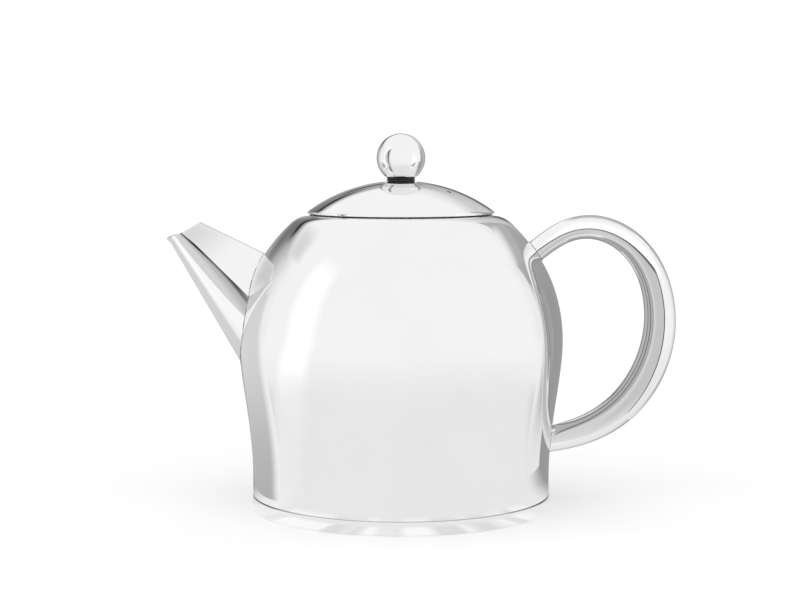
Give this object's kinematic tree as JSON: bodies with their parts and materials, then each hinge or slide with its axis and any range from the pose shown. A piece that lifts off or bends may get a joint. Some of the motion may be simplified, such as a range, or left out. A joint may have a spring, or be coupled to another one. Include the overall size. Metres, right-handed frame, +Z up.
{
  "type": "teapot",
  "caption": "Double-walled polished steel teapot with a folded conical spout, a tubular loop handle, a lift-out slotted infuser and a loose domed lid with a ball knob.",
  "frame": {"origin": "centre of the flat underside of the base, on the body's axis", "axes": "+Z up along the body's axis, +X towards the handle, so the spout points to -X"},
  "size_m": [0.2172, 0.138, 0.1594],
  "materials": {
    "polished_steel": "mirror polished",
    "satin_steel": "satin, as pressed",
    "black_silicone": "matte black"
  },
  "bodies": {
    "pot": {"outer_shell": "polished_steel", "base_cap": "polished_steel", "inner_vessel": "satin_steel", "spout_duct": "satin_steel", "spout_shell": "polished_steel", "handle_tube": "polished_steel"},
    "infuser": {"infuser_rim": "satin_steel", "infuser_cup": "satin_steel", "infuser_cap": "satin_steel"},
    "knob": {"knob_ball": "polished_steel", "knob_washer": "black_silicone", "steel_washer": "satin_steel", "knob_screw": "satin_steel"},
    "lid": {"lid_dome": "polished_steel", "lid_ring": "satin_steel"}
  },
  "joints": [
    {"name": "infuser_lift", "type": "slide", "parent": "pot", "child": "infuser", "axis": [0, 0, 1], "range_m": [0, 0.1]},
    {"name": "lid_lift", "type": "slide", "parent": "infuser", "child": "knob", "axis": [0, 0, 1], "range_m": [0, 0.07]},
    {"name": "lid_turn", "type": "hinge", "parent": "knob", "child": "lid", "pos_m": [0, 0, 0.13], "axis": [0, 0, 1], "continuous": true}
  ]
}
